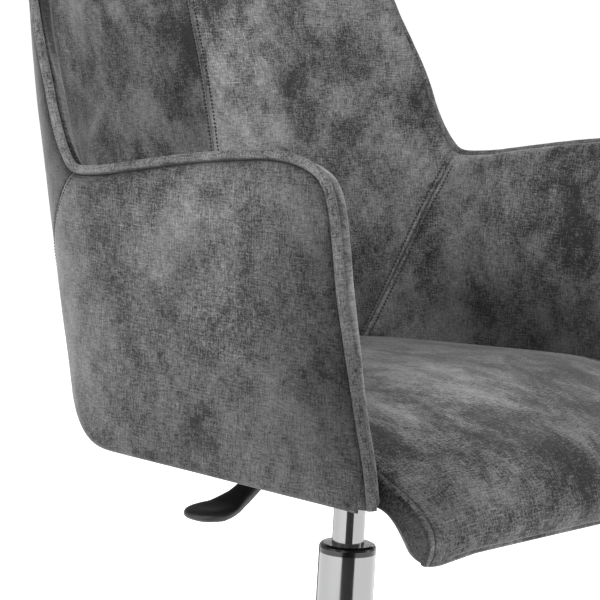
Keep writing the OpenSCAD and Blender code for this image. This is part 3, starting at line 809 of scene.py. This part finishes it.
def cushion_seam_path(side, inset):
    """Line along the cushion's top at an inset from its side edge, with the cloth's normals."""
    path, normals = [], []
    for i in range(240):
        v = mix(0.15, 9.2, i / 239)
        (y, z), _ = seat_station(v, side * (SEAT_X - inset), 150, 150)
        (ya, za), _ = seat_station(max(v - 0.05, 0), side * (SEAT_X - inset), 150, 150)
        (yb, zb), _ = seat_station(v + 0.05, side * (SEAT_X - inset), 150, 150)
        length = hypot(yb - ya, zb - za)
        path.append(Vector((side * (SEAT_X - inset), y, z)))
        normals.append(Vector((side * 0.4, -(zb - za) / length, (yb - ya) / length)).normalized())
    return path, normals


# ---------------------------------------------------------------- lever paddle
PADDLE_TOP = [(-205, 349.6), (-203.5, 352), (-200, 353.8), (-192, 355.5), (-168, 358), (-150, 365),
              (-132, 375), (-112, 386), (-98, 390), (-84, 391)]
PADDLE_LOW = [(-205, 348.6), (-203.5, 347), (-199, 345.5), (-186, 344.5), (-160, 347.5), (-146, 352.5),
              (-130, 361.5), (-108, 373), (-96, 376), (-84, 377)]
PADDLE_W = [(-205, 1.0), (-204, 6.4), (-202, 10.8), (-198, 15.6), (-192, 19.2), (-184, 21), (-175, 19.6),
            (-166, 16.6), (-150, 11.5), (-132, 9.5), (-84, 8)]


def paddle(material):
    """Spoon of the lever, hollowed a little for the fingers on top."""
    rings, cloth = [], []
    stations = [-205 + 0.5 * i for i in range(8)] + [-201 + 117 * i / 60 for i in range(61)]
    for x in stations:
        near = 2.0 if x > -198 else 0.5
        top = sum(lookup(x + d, PADDLE_TOP) for d in (-near, 0, near)) / 3
        low = sum(lookup(x + d, PADDLE_LOW) for d in (-near, 0, near)) / 3
        wide = sum(lookup(x + d, PADDLE_W) for d in (-near, 0, near)) / 3
        mid, tall = (top + low) / 2, (top - low) / 2
        ring, row = [], []
        for j in range(40):
            a = 2 * pi * j / 40
            ca, sa = cos(a), sin(a)
            y = wide * (1 if ca > 0 else -1) * abs(ca) ** 0.75
            z = mid + tall * (1 if sa > 0 else -1) * abs(sa) ** 0.75
            if sa > 0 and x < -160:
                z -= 1.6 * exp(-((x + 182) / 14) ** 2) * max(0.0, 1 - (y / 15) ** 2)
            ring.append(Vector((x, y, z)))
            row.append((x * MM, a * 0.01))
        rings.append(ring)
        cloth.append(row)
    return rings_mesh("lever_spoon", rings, cloth, material)


# ---------------------------------------------------------------- materials
class Finish:
    """A node material: a Principled shader and short calls that add nodes before it."""

    def __init__(self, name, roughness, metallic=0.0, **sockets):
        self.material = bpy.data.materials.new(name)
        self.material.use_nodes = True
        self.tree = self.material.node_tree
        self.shader = self.tree.nodes["Principled BSDF"]
        self.shader.inputs["Roughness"].default_value = roughness
        self.shader.inputs["Metallic"].default_value = metallic
        for socket, value in sockets.items():
            self.shader.inputs[socket.replace("_", " ")].default_value = value

    def link(self, source, target):
        self.tree.links.new(source, target)

    def coordinates(self, kind, scale=(1, 1, 1), turn=0.0):
        source = self.tree.nodes.new("ShaderNodeTexCoord")
        mapping = self.tree.nodes.new("ShaderNodeMapping")
        mapping.inputs["Scale"].default_value = scale
        mapping.inputs["Rotation"].default_value = (0, 0, turn)
        self.link(source.outputs[kind], mapping.inputs["Vector"])
        return mapping.outputs["Vector"]

    def noise(self, vector, scale, detail=2.0, roughness=0.5, distortion=0.0):
        node = self.tree.nodes.new("ShaderNodeTexNoise")
        node.inputs["Scale"].default_value = scale
        node.inputs["Detail"].default_value = detail
        node.inputs["Roughness"].default_value = roughness
        node.inputs["Distortion"].default_value = distortion
        self.link(vector, node.inputs["Vector"])
        return node.outputs["Fac"]

    def attribute(self, name):
        node = self.tree.nodes.new("ShaderNodeAttribute")
        node.attribute_name = name
        return node.outputs["Fac"]

    def math(self, operation, *values):
        node = self.tree.nodes.new("ShaderNodeMath")
        node.operation = operation
        for i, value in enumerate(values):
            if isinstance(value, (int, float)):
                node.inputs[i].default_value = value
            else:
                self.link(value, node.inputs[i])
        return node.outputs[0]

    def steps(self, value, low, high, out_low=0.0, out_high=1.0):
        node = self.tree.nodes.new("ShaderNodeMapRange")
        node.interpolation_type = "SMOOTHSTEP"
        limits = {"From Min": low, "From Max": high, "To Min": out_low, "To Max": out_high}
        for socket, number in limits.items():
            node.inputs[socket].default_value = number
        self.link(value, node.inputs["Value"])
        return node.outputs["Result"]

    def layer(self, total, value, amount, middle=0.5):
        """total + amount * (value - middle)"""
        base = self.math("SUBTRACT", total, amount * middle)
        return self.math("MULTIPLY_ADD", value, amount, base)

    def near(self, centre, radius, gain):
        """gain at the centre, easing to 1 at the radius."""
        node = self.tree.nodes.new("ShaderNodeVectorMath")
        node.operation = "DISTANCE"
        node.inputs[1].default_value = centre
        self.link(self.coordinates("Object"), node.inputs[0])
        return self.steps(node.outputs["Value"], 0.0, radius, gain, 1.0)

    def ramp(self, value, dark, light):
        node = self.tree.nodes.new("ShaderNodeMix")
        node.data_type = "RGBA"
        node.inputs["A"].default_value = (*dark, 1)
        node.inputs["B"].default_value = (*light, 1)
        self.link(value, node.inputs["Factor"])
        self.link(node.outputs["Result"], self.shader.inputs["Base Color"])

    def rough(self, value):
        self.link(value, self.shader.inputs["Roughness"])

    def bump(self, height, distance, strength=1.0):
        node = self.tree.nodes.new("ShaderNodeBump")
        node.inputs["Distance"].default_value = distance
        node.inputs["Strength"].default_value = strength
        self.link(height, node.inputs["Height"])
        self.link(node.outputs["Normal"], self.shader.inputs["Normal"])


def brushed_velvet(name, tone, shift=0.0, cloud=1.0, weave=1.0, sheen=0.3, blotches_and_painted_light=()):
    """Crushed velvet over a woven ground: clouds where the pile lies differently, slubs both ways.

    Each patch is a place in metres, a radius and the tone there against the rest of the cloth: partly the
    cloth's own lighter and darker blotches, partly painted light and painted shade.
    """
    f = Finish(name, 0.92, Sheen_Weight=sheen, Sheen_Roughness=0.38, Specular_IOR_Level=0.12)
    place = f.coordinates("Object", (1 + 0.13 * shift, 1, 1 - 0.09 * shift), 0.4 * shift)
    wide = f.noise(place, 9.0, 2.0, 0.5, 0.8)
    patch = f.noise(place, 26.0, 2.0, 0.5, 0.6)
    mottle = f.noise(place, 85.0, 3.0, 0.6)
    upright = f.noise(f.coordinates("UV", (760, 110, 1)), 1.0, 2.0, 0.6)
    level = f.noise(f.coordinates("UV", (110, 760, 1)), 1.0, 2.0, 0.6)
    long_slub = f.steps(f.noise(f.coordinates("UV", (560, 42, 1)), 1.0, 1.0), 0.66, 0.78)
    level_slub = f.steps(f.noise(f.coordinates("UV", (42, 560, 1)), 1.0, 1.0), 0.66, 0.78)
    grain = f.noise(f.coordinates("Object"), 780.0, 1.0, 0.6)
    threads = f.math("ADD", upright, level)
    slubs = f.math("ADD", long_slub, level_slub)
    total = f.layer(1.0, wide, 2.2 * cloud)
    total = f.layer(total, patch, 2.2 * cloud)
    total = f.layer(total, mottle, 1.1)
    total = f.layer(total, threads, 2.0 * weave, 1.0)
    total = f.layer(total, grain, 2.2 * weave)
    total = f.layer(total, slubs, 0.6 * weave, 0.0)
    total = f.math("MAXIMUM", total, 0.25)
    # Painted shade and painted highlights from the mesh's point attribute.
    total = f.math("MULTIPLY", total, f.math("SUBTRACT", 1.0, f.attribute("painted_shading")))
    # Patches of painted light and painted shade, partly on the cloth's own blotches.
    for centre, radius, gain in blotches_and_painted_light:
        total = f.math("MULTIPLY", total, f.near(centre, radius, gain))
    f.ramp(f.math("MULTIPLY", total, 0.3), (0, 0, 0), (tone / 0.3, tone / 0.3, 1.01 * tone / 0.3))
    height = f.math("ADD", f.math("MULTIPLY", threads, 0.5), f.math("MULTIPLY", grain, 0.5))
    f.bump(f.math("ADD", height, f.math("MULTIPLY", mottle, 1.5)), 0.0004, 0.6)
    return f.material


def plain_thread(name, tone):
    f = Finish(name, 0.8, Sheen_Weight=0.2, Sheen_Roughness=0.5)
    ply = f.noise(f.coordinates("Object"), 1600.0, 2.0)
    f.ramp(ply, (tone * 0.6,) * 3, (tone * 1.4,) * 3)
    f.bump(ply, 0.0002)
    return f.material


def moulded_plastic(name, tone, roughness=0.42, grain=2600.0):
    f = Finish(name, roughness)
    texture = f.noise(f.coordinates("Object"), grain, 2.0)
    wear = f.noise(f.coordinates("Object"), 22.0, 3.0)
    f.ramp(wear, (tone * 0.85,) * 3, (tone * 1.2,) * 3)
    f.rough(f.steps(wear, 0.3, 0.7, roughness - 0.05, roughness + 0.08))
    f.bump(texture, 0.00006, 0.5)
    return f.material


def polished_metal(name, tone, roughness, drawn=(60, 60, 4)):
    """Metal with fine drawn lines along Z and faint smears."""
    f = Finish(name, roughness, 1.0)
    lines = f.noise(f.coordinates("Object", tuple(20 * d for d in drawn)), 1.0, 2.0, 0.6)
    smear = f.noise(f.coordinates("Object"), 30.0, 3.0)
    f.ramp(lines, (tone * 0.94,) * 3, (tone * 1.03, tone * 1.03, tone * 1.04))
    f.rough(f.steps(smear, 0.35, 0.7, roughness * 0.85, roughness * 1.35))
    f.bump(lines, 0.00001, 0.25)
    return f.material


def zinc_plate(name):
    f = Finish(name, 0.38, 1.0)
    spangle = f.noise(f.coordinates("Object"), 320.0, 2.0)
    f.ramp(spangle, (0.5, 0.51, 0.54), (0.66, 0.67, 0.69))
    f.rough(f.steps(spangle, 0.3, 0.7, 0.3, 0.48))
    f.bump(spangle, 0.00003, 0.4)
    return f.material


def powder_coat(name, tone):
    f = Finish(name, 0.5)
    peel = f.noise(f.coordinates("Object"), 900.0, 2.0)
    wear = f.noise(f.coordinates("Object"), 40.0, 3.0)
    f.ramp(wear, (tone * 0.8,) * 3, (tone * 1.25,) * 3)
    f.rough(f.steps(wear, 0.3, 0.7, 0.42, 0.6))
    f.bump(peel, 0.00008, 0.6)
    return f.material


def birch_ply(name):
    f = Finish(name, 0.62)
    grain = f.noise(f.coordinates("Object", (9, 90, 700)), 1.0, 3.0, 0.6, 0.4)
    layers = f.noise(f.coordinates("Object", (2, 2, 520)), 1.0, 0.0)
    f.ramp(f.math("MULTIPLY", f.math("ADD", grain, layers), 0.5), (0.33, 0.2, 0.1), (0.62, 0.45, 0.27))
    f.bump(grain, 0.0001, 0.4)
    return f.material


def woven_cambric(name, tone):
    f = Finish(name, 0.9, Sheen_Weight=0.1, Sheen_Roughness=0.5)
    warp = f.noise(f.coordinates("Object", (900, 60, 60)), 1.0, 1.0)
    weft = f.noise(f.coordinates("Object", (60, 900, 60)), 1.0, 1.0)
    both = f.math("MULTIPLY", f.math("ADD", warp, weft), 0.5)
    f.ramp(both, (tone * 0.5,) * 3, (tone * 1.6,) * 3)
    f.bump(both, 0.0002, 0.7)
    return f.material


def soft_rubber(name, tone):
    f = Finish(name, 0.7)
    dust = f.noise(f.coordinates("Object"), 60.0, 4.0)
    f.ramp(dust, (tone * 0.8,) * 3, (tone * 1.5,) * 3)
    f.bump(f.noise(f.coordinates("Object"), 1400.0, 1.0), 0.00008, 0.5)
    return f.material


# ---------------------------------------------------------------- pieces
# Grey of the cloth where its pile stands straight
TONE = 0.08
# Patch tones below 1 are painted shade, such as at the foot of the pads by the seat and along the arm's
# front; tones above 1 are painted light; some of the patches follow the velvet's own blotches.
velvet_outer = brushed_velvet("outer velvet", 0.85 * TONE, blotches_and_painted_light=[((-0.2, 0.195, 0.68), 0.22, 0.25)])
velvet_arm = brushed_velvet("outer arm velvet", TONE, shift=0.5, cloud=0.72, blotches_and_painted_light=[
    ((-0.27, -0.2, 0.48), 0.17, 0.36), ((-0.27, -0.2, 0.6), 0.12, 0.6), ((-0.265, -0.02, 0.66), 0.16, 1.35),
    ((-0.27, -0.075, 0.525), 0.06, 1.4), ((-0.27, -0.03, 0.57), 0.05, 0.8),
    ((-0.26, -0.03, 0.41), 0.12, 0.8)])
velvet_inner = brushed_velvet("inner velvet", TONE, shift=1.0, cloud=1.5, weave=1.3, blotches_and_painted_light=[
    ((-0.02, 0.2, 0.66), 0.1, 0.75), ((-0.19, 0.14, 0.66), 0.05, 0.7)])
# Painted light: the left back pad gets the inner velvet 1.6 times lighter, as if lit more strongly.
velvet_inner_painted_light = brushed_velvet("inner velvet, painted light", 1.6 * TONE, shift=1.4, cloud=1.1, blotches_and_painted_light=[
    ((0.04, 0.215, 0.71), 0.09, 1.5), ((0.05, 0.19, 0.64), 0.06, 1.25), ((0.2, 0.09, 0.46), 0.13, 0.42)])
velvet_arm_pad = brushed_velvet("arm pad velvet", 1.3 * TONE, shift=1.8, cloud=1.1, blotches_and_painted_light=[
    ((0.24, -0.05, 0.43), 0.17, 0.24), ((0.24, 0.08, 0.46), 0.12, 0.6), ((0.24, 0.03, 0.6), 0.12, 1.4)])
velvet_seat = brushed_velvet("seat velvet", TONE, shift=2.0, cloud=1.6, weave=1.9, blotches_and_painted_light=[
    ((-0.24, -0.28, 0.42), 0.15, 0.42), ((-0.04, -0.3, 0.43), 0.2, 0.62), ((0.05, 0.14, 0.48), 0.12, 0.85),
    ((-0.05, -0.16, 0.47), 0.15, 1.5)])
velvet_piping = brushed_velvet("piping velvet", 1.3 * TONE, shift=3.0, cloud=0.6, weave=1.1, sheen=0.15,
                               blotches_and_painted_light=[((-0.24, -0.23, 0.48), 0.2, 0.5)])
thread = plain_thread("thread", 0.01)

finishes = {
    "outer_fabric": velvet_outer,
    "inner_fabric": velvet_inner,
    "seat_fabric": velvet_seat,
    "piping_fabric": velvet_piping,
    "plywood": birch_ply("birch ply"),
    "cambric": woven_cambric("cambric", 0.02),
    "black_steel": powder_coat("black steel", 0.02),
    "zinc_steel": zinc_plate("zinc plate"),
    "chrome_tube": polished_metal("chromed tube", 0.31, 0.13),
    "chrome_base": polished_metal("chromed base", 0.4, 0.12, (30, 30, 30)),
    "black_plastic": moulded_plastic("black plastic", 0.018),
    "bump_rubber": soft_rubber("bump rubber", 0.015),
    "caster_plastic": moulded_plastic("caster plastic", 0.02, 0.48),
    "wheel_plastic": moulded_plastic("wheel plastic", 0.03, 0.55, 1800.0),
}
for node_name, node in frame["nodes"].items():
    for slot in node.material_slots:
        slot.material = finishes[slot.material.name.split(".")[0]]
frame["nodes"]["column_collar"].material_slots[0].material = polished_metal("shaded chrome", 0.06, 0.2)


def piece(obj, body, slot_name, *nodes):
    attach(obj, body)
    if nodes:
        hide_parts(*nodes)
    return obj


def sides(side):
    return "left" if side > 0 else "right"


piece(outer_back(velvet_outer), "seat", "outer_fabric", "outer_back_panel")
for side in (1, -1):
    name = sides(side)
    arm = outer_arm("arm_cover_" + name, side, 5.0 + side, velvet_arm)
    piece(arm, "seat", "outer_fabric", "outer_arm_panel_" + name)
    # The left back pad gets the velvet with painted light.
    back = inner_pad("back_pad_" + name, shares(0, CORNER, 80), side, INNER_SEAMS, 8.0 + side,
                     velvet_inner_painted_light if side > 0 else velvet_inner)
    piece(back, "seat", "inner_fabric", "inner_back_pad_" + name)
    pad = inner_pad("arm_pad_" + name, shares(CORNER, LAST, 100), side, INNER_SEAMS[1:], 12.0 + side,
                    velvet_arm_pad)
    piece(pad, "seat", "inner_fabric", "inner_arm_pad_" + name)
    for label, (path, normals), offsets in (
            ("inner_corner_stitches_", inner_seam_path(CORNER, side), (-STITCH_GAP, STITCH_GAP)),
            ("outer_corner_stitches_", outer_seam_path(side), (-3.2, 3.2))):
        row = stitches(label + name, path, normals, offsets, -0.55 if "inner" in label else -0.35, thread)
        piece(row, "seat", "inner_fabric")
    for label, inset in (("seat_edge_stitches_", FELL), ("seat_seam_stitches_", 0.6)):
        path, normals = cushion_seam_path(side, inset)
        row = stitches(label + name, path, normals, (0,), -0.5, thread, 4.2, (3.2, 0.45))
        piece(row, "seat", "seat_fabric")
path, normals = inner_seam_path(0, 1)
piece(stitches("centre_stitches", path, normals, (-STITCH_GAP, STITCH_GAP), -0.55, thread),
      "seat", "inner_fabric")
piece(rim_cord(velvet_piping), "seat", "piping_fabric", "rim_piping")
piece(cushion(velvet_seat), "seat", "seat_fabric", "seat_cushion")
piece(paddle(finishes["black_plastic"]), "lever", "black_plastic", "lever_paddle")


# ---------------------------------------------------------------- floor, lights and camera
def stage_mesh(name, points, faces, material):
    mesh = bpy.data.meshes.new(name)
    mesh.from_pydata(points, [], faces)
    mesh.materials.append(material)
    obj = bpy.data.objects.new(name, mesh)
    bpy.context.scene.collection.objects.link(obj)
    return obj


WORLD_STRENGTH = 0.5
FLOOR_GLOW = 0.6


def pale_floor():
    f = Finish("pale floor", 0.9, Emission_Strength=FLOOR_GLOW)
    f.shader.inputs["Emission Color"].default_value = (1, 1, 1, 1)
    f.ramp(f.noise(f.coordinates("Object"), 3.0, 2.0), (0.9, 0.9, 0.9), (0.94, 0.94, 0.94))
    half = 60.0
    corners = [(-half, -half, 0), (half, -half, 0), (half, half, 0), (-half, half, 0)]
    return stage_mesh("floor", corners, [(0, 1, 2, 3)], f.material)


def dark_card(azimuth, half_angle, near, far):
    """A dark card flat on the floor that only the polished metal sees."""
    f = Finish("dark card", 0.9)
    f.ramp(f.noise(f.coordinates("Object"), 5.0), (0.01, 0.01, 0.01), (0.02, 0.02, 0.02))
    points, faces = [], []
    for i in range(9):
        a = radians(azimuth - half_angle + 2 * half_angle * i / 8)
        for r in (near, far):
            points.append((r * sin(a), -r * cos(a), 0.002))
    for i in range(8):
        faces.append((2 * i, 2 * i + 1, 2 * i + 3, 2 * i + 2))
    card = stage_mesh("dark_card_%d" % (azimuth % 360), points, faces, f.material)
    card.visible_camera = False
    card.visible_diffuse = False
    card.visible_shadow = False
    return card


def softbox(name, place, aim, size, power):
    data = bpy.data.lights.new(name, "AREA")
    data.shape = "RECTANGLE"
    data.size, data.size_y = size
    data.energy = power
    lamp = bpy.data.objects.new(name, data)
    lamp.location = place
    lamp.rotation_euler = (Vector(aim) - Vector(place)).to_track_quat("-Z", "Y").to_euler()
    lamp.visible_camera = False
    bpy.context.scene.collection.objects.link(lamp)
    return lamp


pale_floor()
for card_turn in (-45, 135):
    dark_card(card_turn, 26, 0.45, 3.5)
# Each softbox as (name, place, what it faces, size, power in watts)
SOFTBOXES = [
    ("left_back_softbox", (-2.4, 1.2, 2.0), (0, 0, 0.6), (1.6, 1.6), 35),
    ("left_front_softbox", (-2.4, -1.4, 2.2), (0, 0, 0.6), (1.6, 1.6), 60),
    ("top_softbox", (0.2, 0.3, 3.0), (0, 0, 0.5), (2.4, 2.4), 12),
    ("right_front_softbox", (2.2, -2.2, 1.6), (0, 0, 0.5), (1.4, 1.6), 30),
    ("right_back_softbox", (2.2, 1.6, 2.0), (0, 0, 0.6), (1.4, 1.6), 30),
]
for settings in SOFTBOXES:
    softbox(*settings)

scene = bpy.context.scene
world = bpy.data.worlds.new("studio")
world.use_nodes = True
world.node_tree.nodes["Background"].inputs["Color"].default_value = (1, 1, 1, 1)
world.node_tree.nodes["Background"].inputs["Strength"].default_value = WORLD_STRENGTH
scene.world = world
scene.view_settings.view_transform = "Standard"

CAMERA_PLACE = Vector((-1.76987, -1.41467, 0.81715))
CAMERA_TURN = radians(-50)
CAMERA_PITCH = radians(7.7)
CAMERA_ROLL = radians(3.3)
FOCAL_PIXELS = 2650
FRAME_PIXELS = 600
camera_data = bpy.data.cameras.new("camera")
camera_data.sensor_width = 36
camera_data.lens = FOCAL_PIXELS / FRAME_PIXELS * 36
camera = bpy.data.objects.new("camera", camera_data)
back = Vector((sin(CAMERA_TURN) * cos(CAMERA_PITCH), -cos(CAMERA_TURN) * cos(CAMERA_PITCH),
               sin(CAMERA_PITCH)))
right = Vector((cos(CAMERA_TURN), sin(CAMERA_TURN), 0))
up = back.cross(right)
rolled_right = right * cos(CAMERA_ROLL) + up * sin(CAMERA_ROLL)
rolled_up = up * cos(CAMERA_ROLL) - right * sin(CAMERA_ROLL)
camera.matrix_world = Matrix((rolled_right, rolled_up, back)).transposed().to_4x4()
camera.location = CAMERA_PLACE
scene.collection.objects.link(camera)
scene.camera = camera
